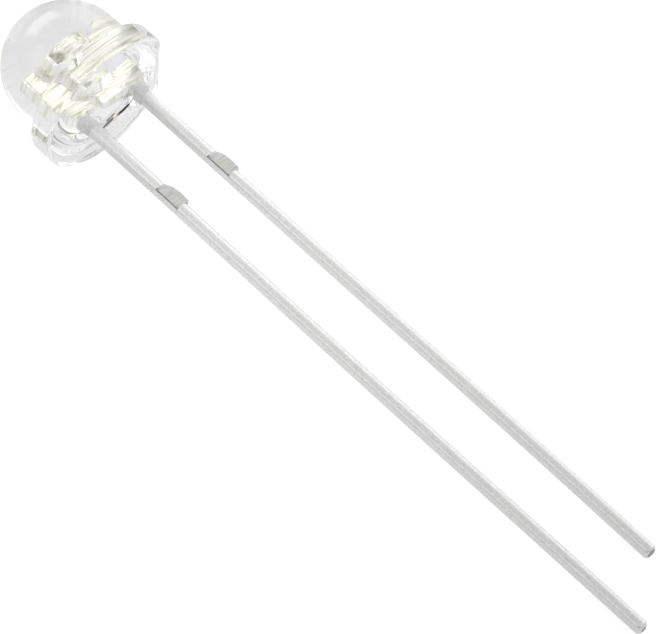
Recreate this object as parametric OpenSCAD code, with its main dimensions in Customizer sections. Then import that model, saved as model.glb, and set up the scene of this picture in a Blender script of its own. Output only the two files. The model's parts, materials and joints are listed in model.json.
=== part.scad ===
// Through hole LED with a low domed body, a wide flange and two square leads.
// The body is clear moulded resin round a stamped lead frame. The frame's
// cathode side ends in a coined reflector cup, which holds the chip under a
// yellow phosphor fill, with a shoulder beside it. The anode side ends in a
// post. Two bond wires join the chip to the cup's rim and to the post.
//
// Each piece is drawn in the lamp's own frame: x runs from the lamp's axis to
// the anode lead, y is square to the flat of the lead frame, and z runs from
// the underside of the flange up to the dome. lie_down() then turns the lamp
// on its side, as it rests on a table: on the rim of its flange and on the
// tips of both leads. Lengths are in millimetres.

/* [Body] */
// Diameter of the domed body
body_d = 4.8; // [4.4:0.1:5.2]
// Height from the underside of the flange to the top of the dome
body_h = 4.6; // [4.3:0.1:6.0]
// Diameter of the flange
flange_d = 5.8; // [5.5:0.1:6.6]
// Thickness of the flange
flange_h = 1.0; // [0.6:0.1:1.4]
// How deep the flat that marks the cathode side cuts into the flange
flat_cut = 0.4; // [0.20:0.05:0.45]
// How far the flat is turned round the lamp's axis, against the leads, in degrees
flat_turn = -9; // [-12:1:12]
// Rounding of the flange's upper edge and of the corner where the body rises
mould_r = 0.12; // [0.06:0.01:0.16]
// Rounding of the flange's lower edge
rim_r = 0.05; // [0.02:0.01:0.06]
// How far the resin creeps along each lead, under the flange
creep_h = 0.3; // [0.10:0.05:0.50]

/* [Leads] */
// Side of the square lead
lead_t = 0.5; // [0.40:0.05:0.60]
// Distance between the two leads, centre to centre
lead_pitch = 2.54; // [2.46:0.02:2.70]
// Length of the anode lead under the flange
anode_l = 27.9; // [12:0.1:32]
// Length of the cathode lead under the flange
cathode_l = 25.9; // [12:0.1:32]
// Rounding of the lead's long edges
lead_r = 0.1; // [0.05:0.01:0.15]
// Chamfer round the tip of each lead
tip_c = 0.1; // [0.05:0.01:0.15]

/* [Tie bar stubs] */
// Distance from the flange to the near end of the stubs
stub_z = 4.0; // [2:0.1:6]
// Length of a stub along its lead
stub_l = 1.1; // [0.8:0.1:1.6]
// How far the stub's far end stands out from the side of the anode lead
anode_stub = 0.11; // [0.05:0.01:0.20]
// How far the stub's far end stands out from the side of the cathode lead
cathode_stub = 0.07; // [0.05:0.01:0.20]
// How far the outline of a stub bulges over the line between its ends
stub_bulge = 0.06; // [0.02:0.01:0.10]

/* [Cup, post and shoulder] */
// Height of the cup's rim over the underside of the flange
rim_z = 2.45; // [2.35:0.05:2.60]
// Diameter of the cup at its rim
cup_d = 1.1; // [0.9:0.05:1.2]
// Diameter of the cup at its floor
cup_floor_d = 0.62; // [0.58:0.02:0.80]
// Depth of the cup
cup_depth = 0.38; // [0.30:0.02:0.50]
// Width of the rim round the cup
cup_wall = 0.2; // [0.10:0.01:0.22]
// Height of the round head that the cup is sunk into
head_h = 0.6; // [0.55:0.05:0.80]
// Height where the webs of the two sides begin
web_z = 0.55; // [0.3:0.05:0.8]
// Height where the webs end and the slopes up to the head and the post begin
slope_z = 1.3; // [1.1:0.05:1.4]
// How far the cathode's web reaches past the lamp's axis
web_reach = 0.35; // [0.2:0.05:0.45]
// Gap between the cathode's side and the anode's side
frame_gap = 0.25; // [0.20:0.01:0.28]
// How far the top of the post stands over the cup's rim
post_rise = 0.05; // [0:0.05:0.15]
// How far the top of the shoulder stands over the cup's rim
shoulder_rise = 0.15; // [0.05:0.05:0.25]
// Width of the shoulder's top
shoulder_w = 0.55; // [0.45:0.05:0.60]
// Depth of the notch between the cup and the shoulder, under the cup's rim
notch_h = 0.4; // [0.30:0.05:0.50]
// How far the post and the shoulder stand out past the outer sides of the leads
frame_out = 0.13; // [0.05:0.01:0.20]
// Radius of the stamped corner where a web meets its lead
web_r = 0.15; // [0.05:0.01:0.18]

/* [Chip and wires] */
// Side of the square chip
die_w = 0.3; // [0.24:0.02:0.34]
// Thickness of the chip
die_h = 0.12; // [0.08:0.01:0.16]
// Thickness of the adhesive under the chip
attach_h = 0.03; // [0.02:0.005:0.05]
// How far the adhesive spreads past the chip's corners
attach_rim = 0.03; // [0.01:0.005:0.04]
// Height of the phosphor fill's crown over the cup's rim
crown_h = 0.12; // [0.05:0.01:0.20]
// Diameter of a bond wire
wire_d = 0.03; // [0.025:0.001:0.040]
// Distance of each wire's pad from the middle of the chip
pad_x = 0.08; // [0.06:0.005:0.09]
// Diameter of the ball at the chip end of a wire
ball_d = 0.09; // [0.07:0.005:0.10]
// Radius of the bend at the top of a wire's loop
loop_r = 0.12; // [0.08:0.01:0.16]
// Height of the top of a wire's loop over the cup's rim
loop_top = 0.2; // [0.18:0.01:0.40]
// Distance of the anode wire's foot from the inner edge of the post
foot_in = 0.2; // [0.10:0.05:0.30]

/* [Hidden] */

body_r = body_d / 2;
dome_z = body_h - body_r;
flange_r = flange_d / 2;
flat_x = flange_r - flat_cut;
flat_half = acos(flat_x / flange_r);
lead_x = lead_pitch / 2;
cup_r = cup_d / 2;
head_r = cup_r + cup_wall;
floor_z = rim_z - cup_depth;
post_z = rim_z + post_rise;
shoulder_z = rim_z + shoulder_rise;
frame_x = lead_x + lead_t / 2 + frame_out;
post_in = head_r + frame_gap;
web_in = web_reach + frame_gap;
die_z = floor_z + attach_h;
pad_z = die_z + die_h;
attach_r = die_w / sqrt(2) + attach_rim;
ball_h = ball_d / 2;
foot_d = wire_d * 3;
foot_h = wire_d * 2 / 3;
// The resin that creeps along a lead starts this far outside its flat sides.
creep_skin = 0.02;
creep_r = lead_t / 2 + creep_skin;
// Overlap that keeps unions and cuts clean.
eps = 0.01;
// Facets for the body's large curves, for the cup and leads, and for the wires.
fn_body = 120;
fn_small = 48;
fn_wire = 24;

// The plane that the lamp rests on is y = p + rest_a * x + rest_b * z. It
// touches the lower edges of both tips and the circle of the flange's rim.
tip_skew = (anode_l - cathode_l) / lead_pitch;
tip_reach = (anode_l + cathode_l) / 2 - tip_c + tip_skew * (lead_t / 2 - lead_r);
rest_q = tip_reach * tip_reach - pow(flange_r * tip_skew, 2);
rest_m = lead_t * tip_reach;
rest_s = sqrt(rest_m * rest_m - 4 * rest_q * (lead_t * lead_t / 4 - flange_r * flange_r));
rest_b = (rest_m - rest_s) / (2 * rest_q);
rest_a = tip_skew * rest_b;
roll = atan2(-rest_a, 1);
tilt = atan2(-rest_b, sqrt(1 + rest_a * rest_a));
lift = flange_r * cos(tilt) - rim_r * (cos(tilt) + sin(tilt) - 1);
// The origin lies on the table, under the middle of the lamp's bounding box.
box_x0 = -dome_z * cos(tilt) - body_r;
box_x1 = max(anode_l, cathode_l) * cos(tilt) + (lead_t / 2 - tip_c) * sin(tilt);
box_y0 = -flange_r;
box_y1 = flange_r * cos(flat_half - abs(flat_turn + roll));
rest_at = [-(box_x0 + box_x1) / 2, -(box_y0 + box_y1) / 2, lift];

module lie_down() {
    translate(rest_at)
        rotate([0, tilt, 0])
            rotate([90, 0, -90])
                rotate([0, 0, roll])
                    children();
}

// Raises an outline, drawn as x and z, to a plate in the plane of the lead frame.
module frame_plate(thickness) {
    rotate([90, 0, 0])
        linear_extrude(thickness, center = true)
            children();
}

module rounded_square(side, r) {
    square([side, side - 2 * r], center = true);
    square([side - 2 * r, side], center = true);
    for (x = [-1, 1], y = [-1, 1])
        translate([x, y] * (side / 2 - r))
            circle(r, $fn = fn_small);
}

// Body: flange, barrel and dome in one moulding

module flange_profile() {
    square([flange_r - mould_r, flange_h]);
    square([flange_r - rim_r, flange_h - mould_r]);
    translate([0, rim_r])
        square([flange_r, flange_h - mould_r - rim_r]);
    translate([flange_r - rim_r, rim_r])
        circle(rim_r, $fn = fn_small);
    translate([flange_r - mould_r, flange_h - mould_r])
        circle(mould_r, $fn = fn_small);
}

module barrel_profile() {
    square([body_r, dome_z]);
    difference() {
        square([body_r + mould_r, flange_h + mould_r]);
        translate([body_r + mould_r, flange_h + mould_r])
            circle(mould_r, $fn = fn_small);
    }
    translate([0, dome_z])
        intersection() {
            circle(body_r, $fn = fn_body);
            square(body_r);
        }
}

// The free surface of the resin climbs a little way along each lead.
module creep() {
    rotate_extrude($fn = fn_small)
        difference() {
            translate([0, -creep_h])
                square([creep_r + creep_h, creep_h + eps]);
            translate([creep_r + creep_h, -creep_h])
                circle(creep_h, $fn = fn_small);
        }
}

module body_solid() {
    difference() {
        rotate_extrude($fn = fn_body) {
            flange_profile();
            barrel_profile();
        }
        rotate([0, 0, flat_turn])
            translate([-flange_r - 1, -flange_r, -eps])
                cube([1 + flat_cut, flange_d, flange_h + mould_r + eps]);
    }
    for (side = [-1, 1])
        translate([side * lead_x, 0, 0])
            creep();
}

module epoxy_lens() {
    color([0.90, 0.92, 0.90, 0.45])
        lie_down()
            difference() {
                body_solid();
                cathode_solid();
                anode_solid();
                phosphor_envelope();
                wire_anode_solid();
                wire_cathode_solid();
            }
}

// Leads: square bars with a chamfered tip and the stub of the cut tie bar

module tie_bar_stub(proud) {
    chord = sqrt(stub_l * stub_l + proud * proud);
    arc_r = (chord * chord / 4 + stub_bulge * stub_bulge) / (2 * stub_bulge);
    mid = [-(lead_t + proud) / 2, -stub_z - stub_l / 2];
    inward = [stub_l, -proud] / chord;
    frame_plate(lead_t)
        intersection() {
            translate([-lead_t / 2 - proud - stub_bulge, -stub_z - stub_l])
                square([lead_t + proud + stub_bulge, stub_l]);
            translate(mid + inward * (arc_r - stub_bulge))
                circle(arc_r, $fn = fn_body);
        }
}

module lead_bar(length, proud) {
    intersection() {
        translate([0, 0, -length])
            linear_extrude(length + web_z + web_r)
                rounded_square(lead_t, lead_r);
        translate([0, 0, -length])
            union() {
                cylinder(h = lead_t, r1 = lead_t / 2 - tip_c, r2 = lead_t * 1.5 - tip_c,
                         $fn = fn_small);
                translate([0, 0, lead_t / 2])
                    cylinder(h = length + 2 * lead_t, r = lead_t, $fn = fn_small);
            }
    }
    tie_bar_stub(proud);
}

// Fills the inner corner where a web meets its lead with a stamped radius.
module web_corner(side) {
    difference() {
        translate([-web_r * (1 - side) / 2, web_z - web_r])
            square([web_r, web_r + eps]);
        translate([side * web_r, web_z - web_r])
            circle(web_r, $fn = fn_small);
    }
}

module cathode_web() {
    polygon([
        [-frame_x, web_z],
        [-frame_x, shoulder_z],
        [-frame_x + shoulder_w, shoulder_z],
        [-head_r, rim_z - notch_h],
        [head_r, rim_z - head_h],
        [web_reach, slope_z],
        [web_reach, web_z],
    ]);
    translate([-lead_x + lead_t / 2, 0])
        web_corner(1);
}

module anode_web() {
    polygon([
        [web_in, web_z],
        [web_in, slope_z],
        [post_in, rim_z - head_h],
        [post_in, post_z],
        [frame_x, post_z],
        [frame_x, web_z],
    ]);
    translate([lead_x - lead_t / 2, 0])
        web_corner(-1);
}

// The head is upset to a round block wider than the strip, then coined.
module cup_head() {
    translate([0, 0, rim_z - head_h])
        cylinder(h = head_h, r = head_r, $fn = fn_small);
    translate([0, 0, rim_z - head_h - (head_r - lead_t / 2)])
        cylinder(h = head_r - lead_t / 2, r1 = lead_t / 2, r2 = head_r, $fn = fn_small);
}

module cup_bowl(over) {
    widen = over * (cup_d - cup_floor_d) / cup_depth / 2;
    translate([0, 0, floor_z])
        cylinder(h = cup_depth + over, r1 = cup_floor_d / 2, r2 = cup_r + widen,
                 $fn = fn_small);
}

module cathode_solid() {
    translate([-lead_x, 0, 0])
        lead_bar(cathode_l, cathode_stub);
    difference() {
        union() {
            frame_plate(lead_t)
                cathode_web();
            cup_head();
        }
        cup_bowl(eps);
    }
}

module anode_solid() {
    translate([lead_x, 0, 0])
        lead_bar(anode_l, anode_stub);
    frame_plate(lead_t)
        anode_web();
}

module cathode_lead() {
    color([0.78, 0.78, 0.77])
        lie_down()
            cathode_solid();
}

module anode_lead() {
    color([0.78, 0.78, 0.77])
        lie_down()
            anode_solid();
}

// Chip, its adhesive and the phosphor fill that covers it

module die_solid() {
    translate([-die_w / 2, -die_w / 2, die_z])
        cube([die_w, die_w, die_h]);
}

module attach_solid() {
    translate([0, 0, floor_z])
        cylinder(h = attach_h, r = attach_r, $fn = fn_small);
}

module led_die() {
    color([0.55, 0.70, 0.85])
        lie_down()
            die_solid();
}

module die_attach() {
    color([0.90, 0.88, 0.80])
        lie_down()
            attach_solid();
}

// Fills the cup to its rim, with a low round crown over it.
module phosphor_envelope() {
    crown_r = (cup_r * cup_r + crown_h * crown_h) / (2 * crown_h);
    rotate_extrude($fn = fn_small) {
        polygon([[0, floor_z], [cup_floor_d / 2, floor_z], [cup_r, rim_z], [0, rim_z]]);
        intersection() {
            translate([0, rim_z + crown_h - crown_r])
                circle(crown_r, $fn = fn_body);
            translate([0, rim_z])
                square([cup_r, crown_h]);
        }
    }
}

module phosphor_fill() {
    color([0.93, 0.90, 0.45])
        lie_down()
            difference() {
                phosphor_envelope();
                die_solid();
                attach_solid();
                wire_anode_solid();
                wire_cathode_solid();
            }
}

// Bond wires: a ball on the chip, a rise, one bend, a run and a flat foot

module wire_ball() {
    intersection() {
        translate([0, 0, ball_h / 2])
            sphere(d = ball_d, $fn = fn_wire);
        translate([-ball_d, -ball_d, 0])
            cube([2 * ball_d, 2 * ball_d, ball_h]);
    }
}

// The rise and the run are drawn from the two ends of the bend, so that their
// round faces meet it exactly.
module wire_solid(foot_x, foot_z) {
    bend_z = rim_z + loop_top - loop_r;
    aim = [foot_x - pad_x - loop_r, foot_z + foot_h - bend_z];
    run = sqrt(aim * aim - loop_r * loop_r);
    bend_end = atan2(aim.y, aim.x) + atan2(run, loop_r);
    translate([pad_x, 0, pad_z])
        wire_ball();
    translate([pad_x + loop_r, 0, bend_z])
        rotate([90, 0, 0])
            rotate([0, 0, bend_end]) {
                rotate_extrude(angle = 180 - bend_end, $fn = fn_small)
                    translate([loop_r, 0])
                        circle(d = wire_d, $fn = fn_wire);
                translate([loop_r, 0, 0])
                    rotate([90, 0, 0])
                        cylinder(h = run, d = wire_d, $fn = fn_wire);
                rotate([0, 0, 180 - bend_end])
                    translate([loop_r, 0, 0])
                        rotate([-90, 0, 0])
                            cylinder(h = bend_z - pad_z - ball_h / 2, d = wire_d,
                                     $fn = fn_wire);
            }
    translate([foot_x, 0, foot_z])
        cylinder(h = foot_h, d = foot_d, $fn = fn_wire);
}

module wire_anode_solid() {
    wire_solid(post_in + foot_in, post_z);
}

module wire_cathode_solid() {
    mirror([1, 0, 0])
        wire_solid(cup_r + cup_wall / 2, rim_z);
}

module bond_wire_anode() {
    color([0.85, 0.65, 0.25])
        lie_down()
            wire_anode_solid();
}

module bond_wire_cathode() {
    color([0.85, 0.65, 0.25])
        lie_down()
            wire_cathode_solid();
}

epoxy_lens();
cathode_lead();
anode_lead();
led_die();
die_attach();
phosphor_fill();
bond_wire_anode();
bond_wire_cathode();
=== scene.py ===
# %% [markdown]
# # A clear lamp with a wide flange and two square leads
# The object is a small through hole lamp: a stamped and tinned lead frame, a chip in a cup under
# yellow phosphor, two gold wires, and clear resin moulded round it all. It lies on a white table.
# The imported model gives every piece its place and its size. This lesson makes the surfaces: the
# polished resin, the tin of the leads, the sheared stubs and the phosphor seen through the dome.

# %% Load the frame
import json
import math

import bmesh
import bpy
from mathutils import Matrix, Vector, noise


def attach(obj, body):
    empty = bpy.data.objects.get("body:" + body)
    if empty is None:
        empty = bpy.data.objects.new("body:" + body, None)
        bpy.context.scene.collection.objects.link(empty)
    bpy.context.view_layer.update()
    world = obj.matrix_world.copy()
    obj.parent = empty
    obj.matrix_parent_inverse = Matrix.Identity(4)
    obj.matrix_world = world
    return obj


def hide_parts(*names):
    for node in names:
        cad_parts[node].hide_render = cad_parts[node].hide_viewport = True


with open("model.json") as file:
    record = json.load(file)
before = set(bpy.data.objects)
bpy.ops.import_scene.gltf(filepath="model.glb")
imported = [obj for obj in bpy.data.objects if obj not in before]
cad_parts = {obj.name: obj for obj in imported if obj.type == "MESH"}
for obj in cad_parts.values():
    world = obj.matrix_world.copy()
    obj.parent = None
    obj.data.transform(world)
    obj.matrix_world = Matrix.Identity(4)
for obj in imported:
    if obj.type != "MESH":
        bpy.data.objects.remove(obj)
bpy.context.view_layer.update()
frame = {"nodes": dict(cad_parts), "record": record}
print("solids in the frame:", ", ".join(sorted(frame["nodes"])))

# %% [markdown]
# The lamp lies tilted on the table, so its shapes are far easier to draw in the lamp's own frame:
# x towards the anode lead, y square to the flat lead frame, z up to the dome, in millimetres. It
# could be typed in as three angles, but then a changed model would leave it behind. The record's
# mounts hold it already: the seat is the middle of the flange's underside, the barrel's axis is z,
# and the line between the two lead tips gives x once its part along z is taken out.

# %% The lamp's own frame
MM = 0.001
mounts = {mount["name"]: mount for mount in frame["record"]["mounts"]}
seat = Vector(mounts["seat"]["pos_m"])
axis_z = Vector(mounts["lens_barrel"]["axis"]).normalized()
tip_line = Vector(mounts["anode_pin"]["pos_m"]) - Vector(mounts["cathode_pin"]["pos_m"])
axis_x = (tip_line - tip_line.dot(axis_z) * axis_z).normalized()
axis_y = axis_z.cross(axis_x)
LAMP = Matrix.Translation(seat) @ Matrix((axis_x, axis_y, axis_z)).transposed().to_4x4()
LAMP_MM = LAMP @ Matrix.Scale(MM, 4)
TO_LAMP = LAMP_MM.inverted()


def lamp_box(node):
    """Lowest and highest corner of a CAD node in the lamp's own frame, in millimetres."""
    points = [TO_LAMP @ v.co for v in frame["nodes"][node].data.vertices]
    low = Vector(min(p[i] for p in points) for i in range(3))
    high = Vector(max(p[i] for p in points) for i in range(3))
    return low, high


resin_low, resin_high = lamp_box("epoxy_lens")
anode_low = lamp_box("anode_lead")[0]
cathode_low = lamp_box("cathode_lead")[0]
print("resin from", [round(c, 3) for c in resin_low], "to", [round(c, 3) for c in resin_high])

# %% [markdown]
# The camera looks down on the lamp from behind the flange. Its place was found by fitting the
# outlines of the dome, the flange and both leads, so it is given as a point to look at, a distance
# and three angles. A Track To constraint would aim it too, but couldn't roll it. The lens is long,
# because the leads hardly taper in the picture.

# %% Camera
VIEW_AZIMUTH = math.radians(42.557)
VIEW_ELEVATION = math.radians(50.560)
VIEW_ROLL = math.radians(3.742)
VIEW_DISTANCE = 0.1848959
VIEW_AIM = Vector((-0.0017575, 0.0017542, -0.0016179))
SENSOR_MM = 36.0
LENS_MM = 283.42
CLIP_NEAR = 0.01
CLIP_FAR = 10


def in_scene(name, data):
    """An object in the scene that holds a camera or a mesh."""
    thing = bpy.data.objects.new(name, data)
    bpy.context.scene.collection.objects.link(thing)
    return thing


camera_data = bpy.data.cameras.new("camera")
camera_data.sensor_width = SENSOR_MM
camera_data.lens = LENS_MM
camera_data.clip_start = CLIP_NEAR
camera_data.clip_end = CLIP_FAR
camera = in_scene("camera", camera_data)
view_back = Vector((
    math.sin(VIEW_AZIMUTH) * math.cos(VIEW_ELEVATION),
    -math.cos(VIEW_AZIMUTH) * math.cos(VIEW_ELEVATION),
    math.sin(VIEW_ELEVATION),
))
level_right = Vector((math.cos(VIEW_AZIMUTH), math.sin(VIEW_AZIMUTH), 0))
level_up = view_back.cross(level_right)
view_right = level_right * math.cos(VIEW_ROLL) + level_up * math.sin(VIEW_ROLL)
view_up = view_back.cross(view_right)
turn = Matrix((view_right, view_up, view_back)).transposed()
camera.matrix_world = Matrix.Translation(VIEW_AIM + view_back * VIEW_DISTANCE) @ turn.to_4x4()
bpy.context.scene.camera = camera
print("camera at", [round(c, 4) for c in camera.location])

# %% [markdown]
# Nearly every piece here is a stack of closed loops: round ones for the resin, the cup and the
# phosphor, and rounded squares for the leads. A Screw modifier could make some of them, but not
# loops that change shape on the way. One helper skins such a stack and closes both ends with a
# fan, so each mesh is closed by the way it is made. It draws in lamp millimetres and puts the
# points where the lamp lies. The last helper measures a piece, so that a hole in it shows at once.

# %% Helper: skin a stack of loops
def new_piece(name, points, faces):
    """A smooth mesh object from points in lamp millimetres."""
    mesh = bpy.data.meshes.new(name)
    mesh.from_pydata([LAMP_MM @ Vector(p) for p in points], [], faces)
    mesh.validate()
    mesh.shade_smooth()
    return in_scene(name, mesh)


def skin(name, loops, first_tip, last_tip):
    """A closed mesh through loops of equal length, with a pole at each end."""
    count = len(loops[0])
    points = [p for loop in loops for p in loop] + [first_tip, last_tip]
    first = len(points) - 2
    last = len(points) - 1
    faces = []
    for i in range(len(loops) - 1):
        for j in range(count):
            k = (j + 1) % count
            faces.append((i * count + j, i * count + k, (i + 1) * count + k, (i + 1) * count + j))
    top = (len(loops) - 1) * count
    for j in range(count):
        k = (j + 1) % count
        faces.append((first, k, j))
        faces.append((last, top + j, top + k))
    return new_piece(name, points, faces)


# %% Helper: arcs and rings
def arc(centre, radius, start, stop, steps):
    """Points on an arc in a plane, from one angle to another, both ends included."""
    span = stop - start
    angles = [math.radians(start + span * i / steps) for i in range(steps + 1)]
    return [(centre[0] + radius * math.cos(a), centre[1] + radius * math.sin(a)) for a in angles]


def turn_angles(sides):
    """Equal angles all the way round."""
    return [2 * math.pi * j / sides for j in range(sides)]


# %% Helper: measure a piece
def report(piece):
    """Prints a piece's size in triangles, and whether its mesh is closed."""
    bm = bmesh.new()
    bm.from_mesh(piece.data)
    open_edges = sum(not edge.is_manifold for edge in bm.edges)
    triangles = sum(len(face.verts) - 2 for face in bm.faces)
    volume = bm.calc_volume(signed=True) / MM ** 3
    bm.free()
    print(f"{piece.name}: {triangles} triangles, {volume:.4f} mm3, {open_edges} open edges")


# %% [markdown]
# ## The resin body
# The real body is cast upside down in a polished cup: resin is poured in, the lead frame is dipped
# into it and the resin cures. So the dome, barrel and flange have the mould's polish, while the
# underside is a free surface. It swells out a little, it ripples, and it climbs each lead in a
# meniscus with a wide, low foot and a short, steep end. Seen from behind, this uneven face is the
# window into the lamp: through it the bright frame looks larger and breaks up into streaks.

# %% Resin: outline of the flange, and how near a lead is
FLANGE_R = resin_high.x
FLAT_X = 2.5
FLAT_TURN = math.radians(-9)
LEAD_X = 1.27
LEAD_T = 0.5
LEAD_R = 0.15


def flange_radius(angle):
    """Distance from the axis to the flange's edge, which the flat cuts on the cathode side."""
    facing = -math.cos(angle - FLAT_TURN)
    if facing <= 0:
        return FLANGE_R
    return min(FLANGE_R, FLAT_X / facing)


def lead_distance(x, y, lead_x):
    """Distance from a point to the side of a square lead, zero or less inside it."""
    core = LEAD_T / 2 - LEAD_R
    qx = abs(x - lead_x) - core
    qy = abs(y) - core
    return math.hypot(max(qx, 0), max(qy, 0)) + min(max(qx, qy), 0) - LEAD_R


to_flat = flange_radius(math.pi + FLAT_TURN)
print(f"flange {2 * FLANGE_R:.2f} mm wide, and {to_flat:.2f} mm from its axis to its flat")

# %% [markdown]
# The underside is one height for each place: a low swell, ripples that fade out towards the rim
# and towards the anode's side, and a meniscus round each lead. Sculpting or a Displace modifier
# would make such a surface too. A function is chosen because the height is then known anywhere,
# which the two shreds need later, and because the foot of each meniscus follows the lead's size.
# Inside a lead, where nobody sees it, the height is cut off, so that the skin stays calm there.

# %% Resin: height of the free underside
CREEP_H = -resin_low.z
MENISCUS_REACH = 0.9
MENISCUS_RIM_POWER = 4
CLIMB_H = 0.2
CLIMB_REACH = 0.1
SWELL_H = 0.2
RIPPLE_H = 0.032
RIPPLES_ALONG = 0.9
RIPPLES_ACROSS = 3.2
RIPPLE_SLICE = 3.1
RIPPLE_END_X = 1.5
RIPPLE_FADE = 0.9
RIPPLE_RIM_POWER = 6
PAST_CREEP = 0.35
DEEPEST = -CREEP_H - PAST_CREEP


def clamp(t):
    """A number held between 0 and 1."""
    return min(1, max(0, t))


def underside(x, y, reach):
    """Height of the free surface: a low, rippled swell with a meniscus round each lead."""
    out = min(1, math.hypot(x, y) / reach)
    height = -SWELL_H * (1 - out ** 2) ** 2
    fade = (1 - out ** RIPPLE_RIM_POWER) * clamp((RIPPLE_END_X - x) / RIPPLE_FADE)
    ripple = noise.noise((x * RIPPLES_ALONG, y * RIPPLES_ACROSS, RIPPLE_SLICE))
    height += RIPPLE_H * fade * ripple
    for lead_x in (-LEAD_X, LEAD_X):
        gap = max(0, lead_distance(x, y, lead_x))
        foot = CREEP_H * math.exp(-gap / MENISCUS_REACH)
        climb = CLIMB_H * math.exp(-gap / CLIMB_REACH)
        height -= (foot + climb) * (1 - out ** MENISCUS_RIM_POWER)
    return max(height, DEEPEST)


print(f"the underside's middle is at {underside(0, 0, FLANGE_R):.3f} mm")

# %% [markdown]
# A revolve alone could make the outside, but not the flat of the flange nor the menisci. Here each
# loop is worked out angle by angle: the flange's edge follows the flat, the barrel stays round, and
# the fillets between them keep the mould's radius. The flat and the menisci are then part of one
# closed skin. The loops lie close together, because a clear body shows every facet twice.

# %% Resin: side and dome
BODY_R = mounts["lens_barrel"]["dims"]["r_mm"]
DOME_Z = resin_high.z - BODY_R
FLANGE_H = 1.0
MOULD_R = 0.12
RIM_R = 0.12
BODY_SIDES = 360
UNDERSIDE_STEPS = 150
DOME_STEPS = 56
WALL_STEPS = 8
LAND_STEPS = 4
BARREL_STEPS = 10
RIM_STEPS = 6
FILLET_STEPS = 8


def flange_and_barrel(edge_r):
    """Profile of the side at one angle, from the lower rim to the foot of the dome."""
    fillet = min(MOULD_R, (edge_r - BODY_R) / 2)
    side = arc((edge_r - RIM_R, RIM_R), RIM_R, -90, 0, RIM_STEPS)
    wall = FLANGE_H - fillet - RIM_R
    side += [(edge_r, RIM_R + wall * i / WALL_STEPS) for i in range(1, WALL_STEPS)]
    side += arc((edge_r - fillet, FLANGE_H - fillet), fillet, 0, 90, FILLET_STEPS)
    land = edge_r - fillet - BODY_R - fillet
    side += [(edge_r - fillet - land * i / LAND_STEPS, FLANGE_H) for i in range(1, LAND_STEPS)]
    foot_z = FLANGE_H + fillet
    side += arc((BODY_R + fillet, foot_z), fillet, 270, 180, FILLET_STEPS)
    rise = DOME_Z - foot_z
    side += [(BODY_R, foot_z + rise * i / BARREL_STEPS) for i in range(1, BARREL_STEPS + 1)]
    return side


# %% Resin: the body
def underside_loops(angles, edges):
    """Loops that widen from the middle of the underside to the flange's lower rim."""
    loops = []
    for i in range(1, UNDERSIDE_STEPS):
        loop = []
        for a, edge_r in zip(angles, edges):
            reach = edge_r - RIM_R
            x = reach * i / UNDERSIDE_STEPS * math.cos(a)
            y = reach * i / UNDERSIDE_STEPS * math.sin(a)
            loop.append((x, y, underside(x, y, reach)))
        loops.append(loop)
    return loops


def resin_loops():
    """All the loops of the resin, from the underside up to the top of the dome."""
    angles = turn_angles(BODY_SIDES)
    edges = [flange_radius(a) for a in angles]
    loops = underside_loops(angles, edges)
    sides = [flange_and_barrel(edge_r) for edge_r in edges]
    for level in zip(*sides):
        loops.append([(r * math.cos(a), r * math.sin(a), z) for a, (r, z) in zip(angles, level)])
    for r, z in arc((0, DOME_Z), BODY_R, 0, 90, DOME_STEPS)[1:-1]:
        loops.append([(r * math.cos(a), r * math.sin(a), z) for a in angles])
    return loops


underside_tip = (0, 0, underside(0, 0, FLANGE_R))
dome_tip = (0, 0, DOME_Z + BODY_R)
resin = skin("resin_body", resin_loops(), underside_tip, dome_tip)
report(resin)

# %% [markdown]
# ## The leads
# Each lead is a square bar, punched from a steel strip and tinned, with rounded long edges. A bar
# that is perfectly straight and flat looks like plastic, so the faces are crowned by a hair and
# the bar bows by a few hundredths of a millimetre. A bevelled cube would give the bar, but not the
# stub of the tie bar, which the press cut away: there the corners are sharp, and one side swells
# in an arc and ends in a step. Loops along the bar carry all of this in one skin.

# %% Leads: one loop of the bar
CROWN = 0.012
CORNER_STEPS = 5
FACE_STEPS = 6


def hump(height, t):
    """A rise to a height and back again while t goes from 0 to 1."""
    return height * 4 * t * (1 - t)


def bar_loop(low_x, high_x, half_y, radii, crown, z, shift):
    """A crowned rectangle, anticlockwise, with a radius of its own at each corner."""
    signs = ((1, 1), (-1, 1), (-1, -1), (1, -1))
    turns = []
    for n, ((sx, sy), corner) in enumerate(zip(signs, radii)):
        middle = ((high_x if sx > 0 else low_x) - sx * corner, sy * (half_y - corner))
        turns.append(arc(middle, corner, 90 * n, 90 * n + 90, CORNER_STEPS))
    points = []
    for n, turn_points in enumerate(turns):
        points += turn_points
        leave = turn_points[-1]
        entry = turns[(n + 1) % 4][0]
        out = math.radians(90 * n + 90)
        for i in range(1, FACE_STEPS):
            t = i / FACE_STEPS
            lift = hump(crown, t)
            points.append((leave[0] + (entry[0] - leave[0]) * t + lift * math.cos(out),
                           leave[1] + (entry[1] - leave[1]) * t + lift * math.sin(out)))
    return [(x + shift[0], y + shift[1], z) for x, y in points]


test_loop = bar_loop(-1, 1, 1, [LEAD_R] * 4, CROWN, 0, (0, 0))
print("a loop of the bar has", len(test_loop), "points")

# %% Leads: the stub, the bow and the heights of the loops
STUB_Z = 4.0
STUB_L = 1.1
STUB_BULGE = 0.06
STUB_MARGIN = 0.25
BOW_X = 0.035
BOW_Y = 0.0175
BOW_WAVE_X = 2.6
BOW_WAVE_Y = 4.1
WEB_Z = 0.55
WEB_LAP = 0.1
BAR_TOP = WEB_Z + WEB_LAP
STEP_LONG = 0.2
STEP_FINE = 0.02


def stub_along(z):
    """How far down the stub a height is: 0 at its top, 1 at its step, beyond them off the stub."""
    return (-STUB_Z - z) / STUB_L


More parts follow.
